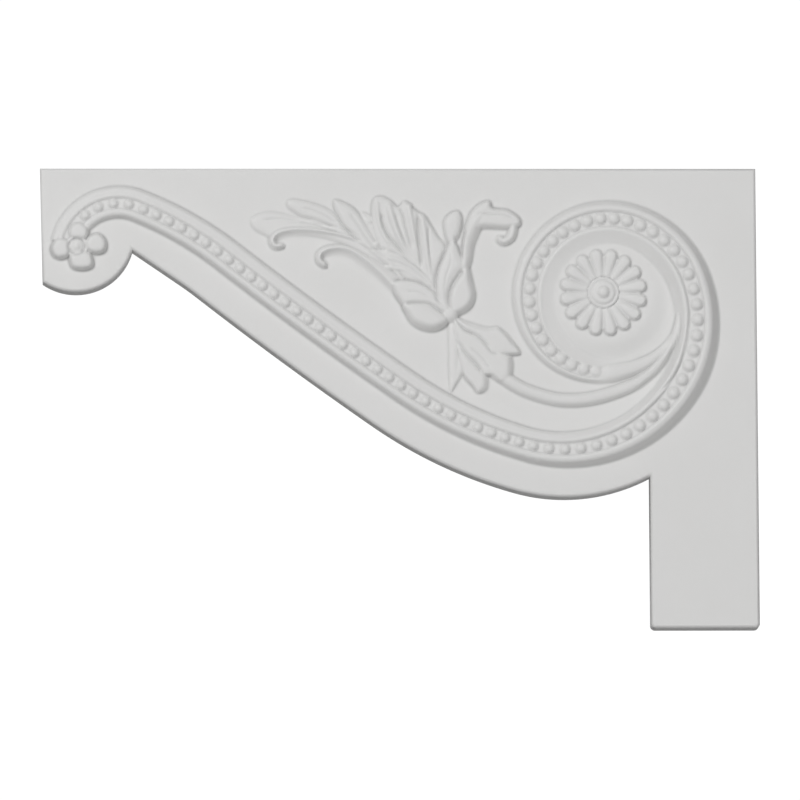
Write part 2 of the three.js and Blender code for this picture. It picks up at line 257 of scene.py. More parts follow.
class Relief:
    def __init__(self):
        reach = cells["reach"]
        step = cells["step"]
        self.x = np.arange(-plate["width"] / 2 - reach, plate["width"] / 2 + reach, step)
        self.z = np.arange(plate["top"] - plate["height"] - reach, plate["top"] + reach, step)
        self.height = np.zeros((len(self.z), len(self.x)))

    def window(self, points, margin):
        # the cells round some points
        step = cells["step"]
        corner = (self.x[0], self.z[0])
        low = np.floor((points[:, :2].min(0) - margin - corner) / step).astype(int)
        high = np.ceil((points[:, :2].max(0) + margin - corner) / step).astype(int) + 1
        columns = slice(max(low[0], 0), max(high[0], 0))
        rows = slice(max(low[1], 0), max(high[1], 0))
        x, z = np.meshgrid(self.x[columns], self.z[rows])
        return (rows, columns), x, z

    def at(self, x, z, values=None):
        # a value of the cells at any places, kept just short of the last cell
        values = self.height if values is None else values
        column = np.clip((x - self.x[0]) / cells["step"], 0, len(self.x) - 1.001)
        row = np.clip((z - self.z[0]) / cells["step"], 0, len(self.z) - 1.001)
        i = column.astype(int)
        j = row.astype(int)
        a = column - i
        b = row - j
        below = values[j, i] * (1 - a) + values[j, i + 1] * a
        above = values[j + 1, i] * (1 - a) + values[j + 1, i + 1] * a
        return below * (1 - b) + above * b

    def add(self, place, height, fillet):
        before = self.height[place]
        raised = np.maximum(blended(before, height, fillet), before)
        self.height[place] = np.where(height > 0, raised, before)

    def nearest(self, x, z, line):
        # distance to the nearest piece of a line, the side of it and the share along it
        best = np.full(x.shape, 1e9)
        side = np.zeros(x.shape)
        share = np.zeros(x.shape)
        for i, (start, end) in enumerate(zip(line[:-1], line[1:])):
            run = end[:2] - start[:2]
            t = beside(x, z, start, run)
            dx = x - start[0] - t * run[0]
            dz = z - start[1] - t * run[1]
            distance = dx * dx + dz * dz
            closer = distance < best
            best = np.where(closer, distance, best)
            side = np.where(closer, run[0] * dz - run[1] * dx, side)
            share = np.where(closer, i + t, share)
        return np.sqrt(best), np.sign(side), share / (len(line) - 1)

    def lobe(self, outline, height, crown=0.4, crownWidth=3.0, power=2.2, fillet=0.2):
        # a leaf or a pod inside a closed outline; each point gives how wide its wall is
        outline = curveThrough(onPlate(outline), forms["outlineSteps"], closed=True)
        place, x, z = self.window(outline, cells["around"])
        inside = np.zeros(x.shape, bool)
        share = np.full(x.shape, 1e9)
        depth = np.full(x.shape, 1e9)
        for start, end in zip(outline, np.roll(outline, -1, 0)):
            run = end - start
            t = beside(x, z, start, run)
            distance = np.hypot(x - start[0] - t * run[0], z - start[1] - t * run[1])
            share = np.minimum(share, distance / (start[2] + t * run[2]))
            depth = np.minimum(depth, distance)
            if start[1] != end[1]:
                crossing = (start[1] > z) != (end[1] > z)
                inside ^= crossing & (x < start[0] + (z - start[1]) / (end[1] - start[1]) * run[0])
        body = height * roundedRise(share, power) + crown * eased(depth / crownWidth)
        self.add(place, np.where(inside, body, 0), fillet)

    def strand(self, line, height, ends=(0.6, 0.6), power=2.0, hollow=None, fillet=0.2):
        # a raised line; each point gives the width to its left and to its right
        line = curveThrough(onPlate(line), forms["lineSteps"])
        place, x, z = self.window(line, line[:, 2:].max() + cells["around"])
        distance, side, share = self.nearest(x, z, line)
        at = share * (len(line) - 1)
        places = np.arange(len(line))
        left = np.interp(at, places, line[:, 2])
        right = np.interp(at, places, line[:, 3])
        reach = np.where(side > 0, left, right)
        t = 1 - distance / np.maximum(reach, forms["thinnest"])
        body = roundedRise(t, power)
        if hollow:
            body = np.where(side < 0, np.clip(t, 0, 1) ** hollow, body)
        swell = np.interp(share, forms["taper"], (ends[0], 1, 1, ends[1]))
        self.add(place, height * swell * body, fillet)

    def groove(self, line, depth, width, floor=0.2):
        # a line cut into what is already raised, fading out at both ends
        line = curveThrough(onPlate(line), forms["lineSteps"])
        place, x, z = self.window(line, forms["grooveReach"] * width)
        distance, _, share = self.nearest(x, z, line)
        fromEnd = np.minimum(share, 1 - share)
        fade = np.clip(fromEnd / forms["grooveFades"], forms["grooveLeast"], 1)
        cut = depth * fade * np.exp(-((distance / width) ** 2))
        lowest = np.minimum(self.height[place], floor)
        self.height[place] = np.maximum(self.height[place] - cut, lowest)

    def dome(self, x, z, radius, height, base=0.0):
        place, gridX, gridZ = self.window(np.array([[x, z]]), radius + cells["around"])
        t = np.hypot(gridX - x, gridZ - z) / radius
        body = base + height * np.sqrt(np.clip(1 - t ** 2, 0, 1))
        self.add(place, np.where(t < 1, body, 0), forms["domeFillet"])


# Scroll: the pearl row as arcs that follow each other. A negative radius turns clockwise.
scroll = dict(
    start=(-137.8, 30.0),
    heading=71.4,
    # radius, length, then rise, outer wall and inner slope at the arc's end, and pearl spacing
    arcs=[
        (-21.7, 35.3, 3.0, 2.2, 3.4, 6.5),
        (-148.5, 42.4, 3.2, 2.2, 3.8, 5.95),
        (1636.0, 90.9, 3.3, 2.4, 3.8, 5.95),
        (176.3, 59.0, 3.7, 3.0, 3.2, 6.1),
        (57.1, 80.1, 5.1, 5.6, 3.6, 6.7),
        (51.8, 42.4, 5.3, 4.7, 4.5, 6.7),
        (39.6, 31.1, 4.0, 3.8, 8.4, 6.0),
        (33.7, 88.6, 2.4, 2.4, 16.0, 5.8),
        (29.6, 22.0, 2.3, 1.8, 6.0, 5.4),
        (29.6, 24.0, 0.05, 1.5, 2.0, 5.2),
    ],
    beginning=(2.0, 2.0, 3.0),  # rise, outer wall and inner slope where the first arc starts
    leadIn=2.0,  # how far the band goes back from its first arc
    overlap=0.002,  # of an arc's turn, so that no gap is left between two arcs
    fillet=0.05,
    rimCrest=4.6,
    ridgeCrest=4.4,
    channel=2.45,
    channelSide=0.8,
    channelDepth=(0.4, 0.08),  # the least, and how much of the rise is added
    rounding=0.3,
    roundingReach=1.3,  # in half widths of the rim
    leastHalfRim=0.3,
    channelLip=0.5,  # how far the rounding goes into the channel
    wallLean=1.15,  # puts the steepest part of the outer wall nearer to the rim
    slopePower=1.5,
    covePower=1.15,
    coveEnds=(300.0, 350.0),  # where the inner slope turns into the volute's cove
    dish=(1.3, 16.0),  # the field beside the belly rises a little towards the band
    dishEnds=(150.0, 230.0, 270.0, 330.0),  # where it begins, is full, falls and ends
    dishPower=1.3,
    stepPower=3.6,
    stepEnds=(215.0, 300.0),  # the slope is a step before here and a hollow after
    channelEnds=500.0,
    channelFades=12.0,
    closes=(440.0, 500.0),  # where the rim and the ridge draw in before the plain end
    closedBy=1.5,  # how far they draw in
    channelGrows=1.9,  # how much wider the channel is on its inner side where the band is broad
)

pearls = dict(
    radius=2.05,
    broadRadius=2.45,  # where the band is broad
    inset=0.7,  # and how far they lie towards the middle of the volute there
    proud=0.55,
    first=12.0,
    last=502.0,
    sinks=(480.0, 505.0),  # where the last pearls sink into the band
    sunkBy=0.4,
)


def onArc(centre, radius, heading):
    return centre[0] + radius * math.sin(heading), centre[1] - radius * math.cos(heading)


def scrollArcs():
    x, z = scroll["start"]
    heading = math.radians(scroll["heading"])
    begin = 0.0
    before = scroll["beginning"]
    pieces = []
    for radius, length, rise, wall, slope, pitch in scroll["arcs"]:
        centre = (x - radius * math.sin(heading), z + radius * math.cos(heading))
        after = (rise, wall, slope)
        pieces.append(dict(radius=radius, length=length, begin=begin, heading=heading,
                           centre=centre, before=before, after=after, pitch=pitch))
        heading += length / radius
        x, z = onArc(centre, radius, heading)
        begin += length
        before = after
    return pieces


def bandProfile(offset, along, rise, wall, slope):
    # height across the band: outer wall, rim, channel, ridge and inner slope
    broad = easedOver(along, scroll["stepEnds"])
    closing = easedOver(along, scroll["closes"])
    grown = scroll["channelGrows"] * (broad - closing)
    drawnIn = scroll["closedBy"] * closing
    channel = np.where(offset < 0, scroll["channel"], scroll["channel"] + grown)
    crest = np.where(offset < 0, scroll["rimCrest"], scroll["ridgeCrest"] + grown) - drawnIn
    outer = eased(np.clip((offset + crest + wall) / wall, 0, 1) ** scroll["wallLean"])
    t = np.clip((offset - crest) / slope, 0, 1)
    coved = easedOver(along, scroll["coveEnds"])
    power = scroll["slopePower"] + (scroll["covePower"] - scroll["slopePower"]) * coved
    inner = (1 - t) ** power * broad + (1 - t ** scroll["stepPower"]) * (1 - broad)
    dishRise, dishWidth = scroll["dish"]
    dish = dishRise * np.interp(along, scroll["dishEnds"], (0, 1, 1, 0))
    dish = dish * np.clip(1 - (offset - crest) / dishWidth, 0, 1) ** scroll["dishPower"]
    height = np.where(offset < 0, rise * outer, np.maximum(rise * inner, dish))
    fades = scroll["channelFades"]
    channelOpen = np.clip((scroll["channelEnds"] + fades - along) / fades, 0, 1)
    edge = np.abs(offset)
    least, added = scroll["channelDepth"]
    side = scroll["channelSide"]
    cut = (least + added * rise) * channelOpen * eased((channel + side / 2 - edge) / side)
    # the rim and the ridge roll over a little towards both of their sides
    middle = (channel + crest) / 2
    halfWidth = np.maximum(middle - channel, scroll["leastHalfRim"])
    reach = scroll["roundingReach"]
    roll = np.clip((edge - middle) / halfWidth, -reach, reach) ** 2
    rolled = (edge > channel - scroll["channelLip"]) & (edge < middle + halfWidth)
    return height - cut - scroll["rounding"] * channelOpen * np.where(rolled, roll, 1)


def makeScroll(relief):
    x, z = np.meshgrid(relief.x, relief.z)
    everywhere = (slice(None), slice(None))
    for number, arc in enumerate(scrollArcs()):
        radius = arc["radius"]
        turn = arc["length"] / radius
        dx = x - arc["centre"][0]
        dz = z - arc["centre"][1]
        begin = arc["heading"] - math.copysign(math.pi / 2, radius)
        turned = np.arctan2(dz, dx) - begin - turn / 2 + math.pi
        share = (turned % (2 * math.pi) - math.pi + turn / 2) / turn
        offset = radius - math.copysign(1, radius) * np.hypot(dx, dz)
        rise, wall, slope = (low + (high - low) * np.clip(share, 0, 1)
                             for low, high in zip(arc["before"], arc["after"]))
        lead = scroll["overlap"] + (scroll["leadIn"] / arc["length"] if number == 0 else 0)
        near = (share > -lead) & (share <= 1 + scroll["overlap"])
        near &= offset > -scroll["rimCrest"] - wall
        inwardReach = np.maximum(slope, scroll["dish"][1])
        near &= offset < scroll["ridgeCrest"] + scroll["channelGrows"] + inwardReach
        along = arc["begin"] + share * arc["length"]
        body = np.where(near, bandProfile(offset, along, rise, wall, slope), 0)
        relief.add(everywhere, body, scroll["fillet"])


def makePearls(relief):
    distance = pearls["first"]
    for arc in scrollArcs():
        while distance <= min(arc["begin"] + arc["length"], pearls["last"]):
            share = (distance - arc["begin"]) / arc["length"]
            heading = arc["heading"] + (distance - arc["begin"]) / arc["radius"]
            rise = arc["before"][0] + (arc["after"][0] - arc["before"][0]) * share
            broad = easedOver(distance, scroll["stepEnds"])
            reach = arc["radius"] - pearls["inset"] * broad
            radius = pearls["radius"] + (pearls["broadRadius"] - pearls["radius"]) * broad
            x, z = onArc(arc["centre"], reach, heading)
            least, added = scroll["channelDepth"]
            depth = least + added * rise + scroll["rounding"]
            sunk = pearls["sunkBy"] * easedOver(distance, pearls["sinks"])
            relief.dome(x, z, radius, depth + (pearls["proud"] - sunk), rise - depth)
            distance += arc["pitch"]


# Rosette on the volute's floor: petals round a hub with a dome
rosette = dict(
    centre=(85.55, 7.05),
    petals=16,
    firstAngle=10.2,
    radius=18.6,
    root=6.4,
    height=3.3,
    rootShare=0.72,  # of the height at a petal's root, and what it gains towards the tip
    tipShare=0.28,
    # a petal is a low body with steep walls and a crown across it
    wall=0.8,
    wallPower=2,
    bodyShare=0.35,
    crownShare=0.65,
    crossPower=3.6,
    crownPower=0.8,
    crownRise=3,
    crownEdge=1.5,
    leastHalfWidth=0.1,
    bed=2.0,
    fillet=0.15,
    hub=dict(radius=6.8, height=3.0, wall=0.7, wallPower=2, crown=0.35, steep=0.8, lowest=0.6,
             groove=5.3, grooveWidth=0.6, grooveDepth=0.8),
    dome=dict(radius=2.4, height=1.6, above=0.1),
)


def makeRosette(relief):
    centreX, centreZ = rosette["centre"]
    place, x, z = relief.window(np.array([rosette["centre"]]), rosette["radius"] + 1)
    r = np.hypot(x - centreX, z - centreZ)
    pitch = 2 * math.pi / rosette["petals"]
    angle = np.arctan2(z - centreZ, x - centreX) - math.radians(rosette["firstAngle"])
    fromMiddle = np.abs((angle + pitch / 2) % pitch - pitch / 2)
    spread = math.tan(pitch / 2)
    tipCentre = rosette["radius"] / (1 + spread)
    along = r * np.cos(fromMiddle)
    across = r * np.sin(fromMiddle)
    halfWidth = np.where(along < tipCentre, along * spread, tipCentre * spread)
    past = np.maximum(along - tipCentre, 0)
    inward = 1 - np.hypot(across, past) / np.maximum(halfWidth, rosette["leastHalfWidth"])
    share = np.clip(inward * halfWidth / rosette["wall"], 0, 1)
    crown = 1 - (across / np.maximum(halfWidth, rosette["leastHalfWidth"])) ** rosette["crossPower"]
    crown = rosette["crownShare"] * np.clip(crown, 0, 1) ** rosette["crownPower"]
    crown = crown * roundedRise(inward * rosette["crownRise"], rosette["crownEdge"])
    towardsTip = eased((along - rosette["root"]) / (tipCentre - rosette["root"]))
    lengthwise = rosette["rootShare"] + rosette["tipShare"] * towardsTip
    low = rosette["bodyShare"] * roundedRise(share, rosette["wallPower"])
    body = rosette["height"] * lengthwise * (low + crown)
    relief.add(place, np.where(r < tipCentre, rosette["bed"], 0), rosette["fillet"])
    onPetal = (inward > 0) & (r > rosette["root"] - 1)
    relief.add(place, np.where(onPetal, body, 0), rosette["fillet"])

    hub = rosette["hub"]
    dome = rosette["dome"]
    t = (hub["radius"] - r) / hub["wall"]
    disc = hub["height"] * roundedRise(t, hub["wallPower"])
    disc += hub["crown"] * eased((hub["radius"] - r) / hub["radius"])
    disc -= hub["grooveDepth"] * np.exp(-(((r - hub["groove"]) / hub["grooveWidth"]) ** 2))
    disc = np.where(t > hub["steep"], disc, np.maximum(disc, hub["lowest"]))
    relief.height[place] = np.where(r < hub["radius"], disc, relief.height[place])
    base = hub["height"] + dome["above"]
    relief.dome(centreX, centreZ, dome["radius"], dome["height"], base)


# Volute: its raised floor, the plain end of the band and the tendril that comes from the leaves
volute = dict(
    floorRadius=29.5,
    floorHeight=1.4,
    floorEdge=9.0,
    floorFillet=0.2,
    plainEnd=dict(height=2.3, ends=(0.2, 0.4), power=3.2, line=[
        (584, 372, 9, 9), (597, 373, 10, 9.5), (611, 371.8, 10, 9.5), (622, 369.5, 9, 8.5),
        (634, 366, 7.5, 8), (646, 361, 6.5, 7), (657, 353.5, 5, 5.5), (667, 342.5, 3, 3.5),
        (674, 330, 1.5, 1.5)]),
    tendril=dict(height=2.5, ends=(0.9, 0.5), power=3.0, line=[
        (487, 364, 6, 7), (503, 375.5, 7, 7), (524, 387.5, 6.5, 7.5), (550, 396, 6.5, 7.5),
        (568, 398.2, 6.5, 7.5), (586, 397.2, 6.5, 7.5), (603, 393.7, 6.5, 7.5),
        (621, 387.7, 6, 7.5), (636, 380.5, 5.5, 7.5), (650, 370, 5, 7), (661, 358, 5, 6),
        (670, 345, 5, 5), (677, 329, 4.5, 4.5), (681, 311, 4.5, 4), (681.5, 296, 4, 3.5),
        (679, 280, 3, 3), (675, 268, 1.5, 2)]),
    creaseFloor=0.6,
    # line, depth and width of the cut
    creases=[
        ([(632, 392), (647.5, 380), (658, 371), (667, 358), (674, 343)], 1.2, 0.45),
        ([(648, 400.6), (667.5, 383), (678.5, 365.3), (684, 347.6), (687.4, 330),
          (688.5, 312)], 0.8, 0.4),
        ([(622, 380), (638, 375), (652, 364), (663, 353), (670, 341)], 0.7, 0.4),
    ],
)


def makeVolute(relief):
    x, z = rosette["centre"]
    place, gridX, gridZ = relief.window(np.array([[x, z]]), volute["floorRadius"] + 1)
    inward = volute["floorRadius"] - np.hypot(gridX - x, gridZ - z)
    floor = volute["floorHeight"] * eased(inward / volute["floorEdge"])
    relief.add(place, floor, volute["floorFillet"])
    relief.strand(**volute["tendril"])
    relief.strand(**volute["plainEnd"])
    for line, depth, width in volute["creases"]:
        relief.groove(line, depth, width, floor=volute["creaseFloor"])


# Flower on the left end of the band
flower = dict(
    centre=(79.5, 246),
    petals=[
        [(55.5, 241), (61.5, 236.5), (69.5, 238), (74.5, 243), (74.5, 250), (69.5, 257),
         (61.5, 258.5), (55.5, 255), (53, 248)],
        [(71.5, 258), (74, 251), (83.5, 249), (92.5, 251), (96, 257), (96.5, 264), (91.5, 268.5),
         (82.5, 269.5), (74.5, 267)],
        [(87.5, 240), (92.5, 234), (100.5, 232), (107.5, 236.5), (110, 244), (107.5, 250.5),
         (100.5, 253.5), (92.5, 252), (87.5, 247)],
        [(71.5, 236), (71, 228), (75.5, 222), (83.5, 221), (89.5, 225), (92, 231), (89.5, 238),
         (80.5, 241)],
    ],
    reach=6,
    wall=4.0,
    petalFillet=0.15,
    height=2.9,
    crown=0.5,
    floor=2.5,
    floorRadius=4.6,
    floorFillet=0.3,
    ring=3.3,
    ringDepth=1.3,
    ringWidth=0.6,
    domeRadius=2.4,
    domeHeight=3.3,
)


def makeFlower(relief):
    (centreX, centreZ), = onPlate([flower["centre"]])
    for petal in flower["petals"]:
        outline = [(x, y, flower["wall"]) for x, y in petal]
        relief.lobe(outline, flower["height"], flower["crown"], fillet=flower["petalFillet"])
    place, x, z = relief.window(np.array([[centreX, centreZ]]), flower["reach"])
    r = np.hypot(x - centreX, z - centreZ)
    floor = np.where(r < flower["floorRadius"], flower["floor"], 0)
    relief.add(place, floor, flower["floorFillet"])
    ring = np.exp(-(((r - flower["ring"]) / flower["ringWidth"]) ** 2))
    relief.height[place] -= flower["ringDepth"] * ring
    relief.dome(centreX, centreZ, flower["domeRadius"], flower["domeHeight"])


# Leaf spray. An outline's points give right, down and the width of the wall there; a strand's
# give right, down and the widths to its left and its right as it is followed.
spray = dict(
    lobes=[
        dict(height=0.9, crown=0.5, outline=[
            (252.5, 218.5, 2), (260.5, 212.5, 3), (272.5, 210.5, 3), (287.5, 212.5, 4),
            (302.5, 217.5, 5), (324.5, 223.5, 5), (347.5, 230.5, 5), (368.5, 242.5, 4),
            (384.5, 258.5, 3), (370.5, 258.5, 3), (350.5, 245.5, 3), (330.5, 238.5, 3),
            (307.5, 234.5, 3), (287.5, 234.5, 3), (272.5, 236.5, 3), (264.5, 233.5, 3),
            (255.5, 227.5, 2)]),
        dict(height=1.1, crown=0.6, outline=[
            (288.5, 200, 2), (293.5, 198, 2), (306.5, 199.5, 2.5), (317.5, 202.5, 2.5),
            (331.5, 208.5, 3), (342.5, 219, 3), (352.5, 231, 3), (370.5, 246, 3), (388.5, 266, 3),
            (372.5, 258, 3), (347.5, 240, 4), (324.5, 226, 4), (307.5, 218, 3), (296.5, 212, 3),
            (289.5, 206, 2)]),
        dict(height=1.5, crown=0.8, outline=[
            (334.5, 201, 2), (338.5, 198.5, 2), (351.5, 203.5, 3), (359.5, 210.5, 3),
            (365.5, 219, 3), (372.5, 231, 3), (381.5, 245, 3), (396.5, 262, 3), (404, 274, 3),
            (387.5, 266, 4), (368.5, 251, 4), (353.5, 238, 4), (345.5, 228, 4), (340.5, 220, 3),
            (336.5, 210, 2)]),
        dict(height=1.0, crown=0.3, outline=[
            (362, 211, 2), (370, 213, 2), (375, 218, 2), (380, 234, 3), (388, 252, 3),
            (396, 264, 3), (384, 256, 3), (374, 242, 3), (366, 226, 2)]),
        dict(height=1.6, crown=0.5, outline=[
            (373, 203, 2), (376.5, 196.5, 2), (383.5, 195, 2.5), (392, 198.5, 3), (399.5, 205, 3),
            (405, 200, 2), (410, 201, 3), (414.5, 206, 3), (419.5, 210, 3), (427, 214.5, 3),
            (433.5, 225, 3), (440, 236, 3), (446, 243, 3), (447, 252, 3), (441.5, 264, 3),
            (438.5, 276, 3), (438.5, 292, 3), (443.5, 307, 3), (431, 300, 4), (413.5, 285, 4),
            (398.5, 272, 4), (384.5, 258, 3), (379.5, 244, 3), (375.5, 232, 2), (373, 217, 2)]),
        dict(height=2.9, crown=0.7, crownWidth=4.0, outline=[
            (392.5, 281.5, 3), (402, 278, 3), (412.5, 279, 3), (422.5, 282, 3), (433, 288.5, 3),
            (441.5, 297, 3), (447, 308, 3), (442.5, 313, 3), (431, 309, 3), (419.5, 307, 3),
            (406, 307, 4), (398.5, 299, 5), (393.5, 290, 5)]),
        dict(height=3.2, crown=0.9, crownWidth=4.0, outline=[
            (403, 304, 3), (411.5, 301, 3), (421.5, 301.5, 3), (431, 303.5, 3), (439.5, 309, 3),
            (448, 316, 3), (449, 322, 5), (442.5, 328, 7), (433, 331, 8), (422.5, 329, 8),
            (412.5, 323, 7), (406, 313, 6)]),
        dict(height=1.9, crown=0.7, outline=[
            (457, 209.5, 2), (461.5, 211, 2.5), (464, 217, 3), (463, 227, 3), (460, 236, 3),
            (456, 243, 3), (450, 243, 3), (446.5, 236, 3), (444.5, 226, 3), (445, 219, 3),
            (450, 213, 2)]),
        dict(height=2.6, crown=0.9, crownWidth=3.6, outline=[
            (449, 243, 3), (455, 239, 3), (460, 246, 3), (464, 257, 3), (467, 265, 3),
            (461, 273, 3), (455, 282, 3), (451, 291, 3), (450, 301, 3), (452, 310, 3),
            (446, 313, 3), (438.5, 303, 3), (435.5, 290, 3), (436, 279, 3), (438.5, 267, 3),
            (443.5, 256, 3)]),
        dict(height=1.8, crown=0.3, outline=[
            (466, 262, 3), (468, 272, 3), (462, 284, 3), (457, 298, 3), (455, 310, 3),
            (446, 310, 3), (446, 298, 3), (449, 285, 3), (455, 274, 3), (461, 265, 3)]),
        dict(height=3.0, crown=0.6, outline=[
            (467, 260, 5), (471.5, 268, 8), (474.5, 281, 9), (477, 294, 9), (473.5, 305, 8),
            (465, 312, 7), (455, 315, 6), (450, 308, 4), (449, 298, 4), (451.5, 288, 4),
            (456, 280, 4), (462, 271, 4)]),
        dict(height=2.4, crown=0.4, outline=[
            (465, 232, 4), (467, 221, 4), (471.5, 211, 4), (479.5, 203, 4), (488.5, 199, 4),
            (492.5, 201, 4), (495, 206.5, 4.5), (508, 208, 4.5), (517, 213, 4),
            (522.5, 219.5, 3.5), (520, 226, 4), (507, 228.5, 5), (493, 228, 6), (483.5, 228.5, 7),
            (477.5, 233, 7), (472.5, 242, 7)]),
        dict(height=1.1, crown=0.3, outline=[
            (449.5, 318, 2), (456, 318, 3), (461, 345, 3), (465, 362, 3), (462.5, 374, 3),
            (457, 383, 2.5), (451, 391.5, 2), (449.5, 380, 2), (449, 350, 2)]),
        dict(height=1.9, crown=0.4, outline=[
            (452, 317, 3), (459, 329, 3), (471, 350, 3), (483.5, 368, 4), (489, 377, 7),
            (487.5, 388, 7), (478.5, 392, 3), (472.5, 385, 2.5), (464, 375, 2.5), (460, 362, 3),
            (455, 340, 3)]),
        dict(height=2.4, crown=0.4, outline=[
            (454, 316, 3), (466, 328, 3), (480.5, 334, 3), (491, 344, 3), (503, 350, 5),
            (513, 356, 8), (513, 374, 8), (507, 379, 3), (500, 381, 2.5), (493, 375, 2.5),
            (483.5, 373.5, 2.5), (475.5, 363, 3), (465, 352, 3), (457, 337, 3)]),
        dict(height=2.2, crown=0.3, outline=[
            (453, 314, 4), (466, 319, 7), (478, 323, 8), (489, 325.5, 8), (498.5, 325, 6),
            (507, 331, 5.5), (514, 340, 5), (521, 351, 2.5), (516, 354, 3), (501, 353.5, 3),
            (490.5, 351, 3), (485.5, 344, 3), (476.5, 336, 3), (464, 328, 3)]),
    ],
    strands=[
        dict(height=2.6, ends=(1.0, 0.8), hollow=2.2, line=[
            (282.5, 244, 4.5, 4.5), (277.5, 244, 5, 5), (275, 239, 5, 6), (279.5, 233, 4.5, 8),
            (290.5, 229.5, 4, 9), (307.5, 228.7, 3.5, 10), (324.5, 230.7, 3.5, 9),
            (347.5, 235.7, 3.5, 6), (368.5, 245.7, 3.5, 5), (388.5, 262, 4, 5), (404, 280, 4, 5)]),
        dict(height=2.6, ends=(1.0, 1.0), hollow=2.2, line=[
            (326, 263, 4.5, 4.5), (322, 259, 5, 5), (322.5, 253, 5, 7), (330, 248.5, 4.5, 9),
            (342, 247, 4, 10), (354, 250.5, 4.5, 10), (366, 258.5, 7, 10), (378, 268.5, 10, 9),
            (389, 279.5, 12, 8), (399, 291, 10, 7)]),
        dict(height=2.7, ends=(0.3, 0.9), line=[
            (374.5, 255, 3, 3.5), (390.5, 257, 3, 3.5), (408, 263, 3, 3.5), (420.5, 271, 3, 3.5),
            (430, 281, 3, 3.5), (438.5, 294, 3, 3)]),
        dict(height=2.5, ends=(0.3, 0.9), line=[
            (380, 265, 3, 3.5), (392, 266.5, 3, 3.5), (404, 269, 3, 3.5), (417.5, 275.5, 3, 3.5),
            (428, 284.5, 3, 3), (436.5, 296, 3, 3)]),
        dict(height=2.7, ends=(0.95, 0.6), line=[
            (378.5, 202, 5, 5), (379.5, 214, 4.5, 4), (382.5, 228, 4, 4), (390.5, 243, 4, 4),
            (404, 260, 3.5, 3.5)]),
        dict(height=3.1, ends=(0.9, 0.6), line=[
            (390.5, 206, 6, 6), (394.5, 220, 6, 6), (401, 238, 5.5, 5.5), (412.5, 258, 4, 4)]),
        dict(height=2.9, ends=(0.9, 0.6), line=[
            (410, 206, 4.5, 4.5), (412.5, 218, 4.5, 5), (415.5, 236, 4, 4.5),
            (419.5, 256, 3.5, 3.5)]),
        dict(height=2.9, ends=(0.9, 0.7), line=[
            (424, 219, 4, 5), (426, 231, 4.5, 6.5), (428, 248, 4, 7), (430, 266, 4, 5),
            (434.5, 284, 3, 3)]),
        dict(height=3.2, ends=(0.95, 0.9), line=[
            (464, 270, 3, 6), (465, 257, 3, 9), (466, 244, 3, 10), (469, 233, 4, 11),
            (474.5, 223, 5, 10), (481.5, 214, 5, 7), (487.5, 207, 5, 5)]),
        dict(height=2.5, ends=(1.0, 0.9), line=[
            (514.5, 222, 5, 5), (514, 230, 5, 5.5), (511, 237, 5, 5), (505, 240.5, 4.5, 4.5),
            (501, 238, 4, 4)]),
    ],
    knobs=[(370.5, 220.5, 4.2, 1.7), (378, 243.5, 4, 2.3), (450, 313, 9.5, 3.3)],
    # line, depth and width of the cut
    grooves=[
        ([(260.5, 219), (287.5, 218), (320.5, 225), (348.5, 235)], 0.5, 0.5),
        ([(302.5, 216), (318.5, 219.5), (336.5, 227)], 0.8, 0.5),
        ([(338.5, 211), (341.5, 220), (347.5, 228), (355.5, 236), (364.5, 244)], 1.0, 0.55),
        ([(302.5, 206), (322.5, 212), (340.5, 224)], 0.5, 0.5),
        ([(350.5, 211), (359.5, 224), (372.5, 243), (386.5, 257)], 0.5, 0.5),
        ([(288.5, 223), (307.5, 221.5), (324.5, 223.5), (347.5, 229), (364.5, 238)], 0.5, 0.45),
        ([(382.5, 211), (384.5, 223), (389.5, 234), (396.5, 243), (410, 261)], 1.3, 0.6),
        ([(400.5, 205), (405, 216), (408, 230), (413.5, 250)], 0.9, 0.55),
        ([(396.5, 214), (400.5, 226), (407, 242)], 0.4, 0.4),
        ([(419.5, 213), (419.5, 224), (420, 238), (421.5, 254), (422.5, 268)], 1.4, 0.65),
        ([(430, 226), (430, 240), (431, 258)], 0.5, 0.45),
        ([(372.5, 248), (379.5, 248.5), (388.5, 248.5)], 0.7, 0.5),
        ([(386.5, 249), (400.5, 254), (415.5, 264), (427, 274)], 0.6, 0.4),
        ([(448, 246), (443, 257), (438.5, 269), (436.5, 281), (437.5, 296),
          (441.5, 304)], 0.9, 0.6),
        ([(456, 236), (459.5, 244.5), (462.5, 256)], 1.0, 0.55),
        ([(467, 265), (461.5, 273), (455, 281), (451, 291), (450, 300), (452, 306)], 0.45, 0.65),
        ([(451, 250), (451.5, 262), (447, 276), (444.5, 290)], 0.35, 0.4),
        ([(393.5, 280), (404, 279), (415.5, 280), (426, 284), (436.5, 292)], 0.9, 0.6),
        ([(404, 303), (415.5, 302.5), (428, 303), (437.5, 308), (444.5, 313)], 1.0, 0.6),
        ([(407, 291), (419.5, 292), (431, 298)], 0.35, 0.5),
        ([(457, 339), (466, 353), (475.5, 363), (482.5, 373)], 0.9, 0.6),
        ([(465, 329.5), (478.5, 335.5), (487, 344), (492, 351), (501, 354)], 0.9, 0.6),
        ([(499, 324), (507, 334), (514, 344)], 0.5, 0.45),
        ([(470, 346), (481.5, 356), (491, 368)], 0.4, 0.45),
        ([(457, 330), (458, 352), (457, 372)], 0.4, 0.45),
        ([(477.5, 212), (491, 214), (505, 214.5), (516, 219)], 0.5, 0.45),
    ],
)


def makeSpray(relief):
    for lobe in spray["lobes"]:
        relief.lobe(**lobe)
    for strand in spray["strands"]:
        relief.strand(**strand)
    for x, y, radius, height in spray["knobs"]:
        (placeX, placeZ, halfWidth), = onPlate([(x, y, radius)])
        relief.dome(placeX, placeZ, halfWidth, height)
    for line, depth, width in spray["grooves"]:
        relief.groove(line, depth, width)


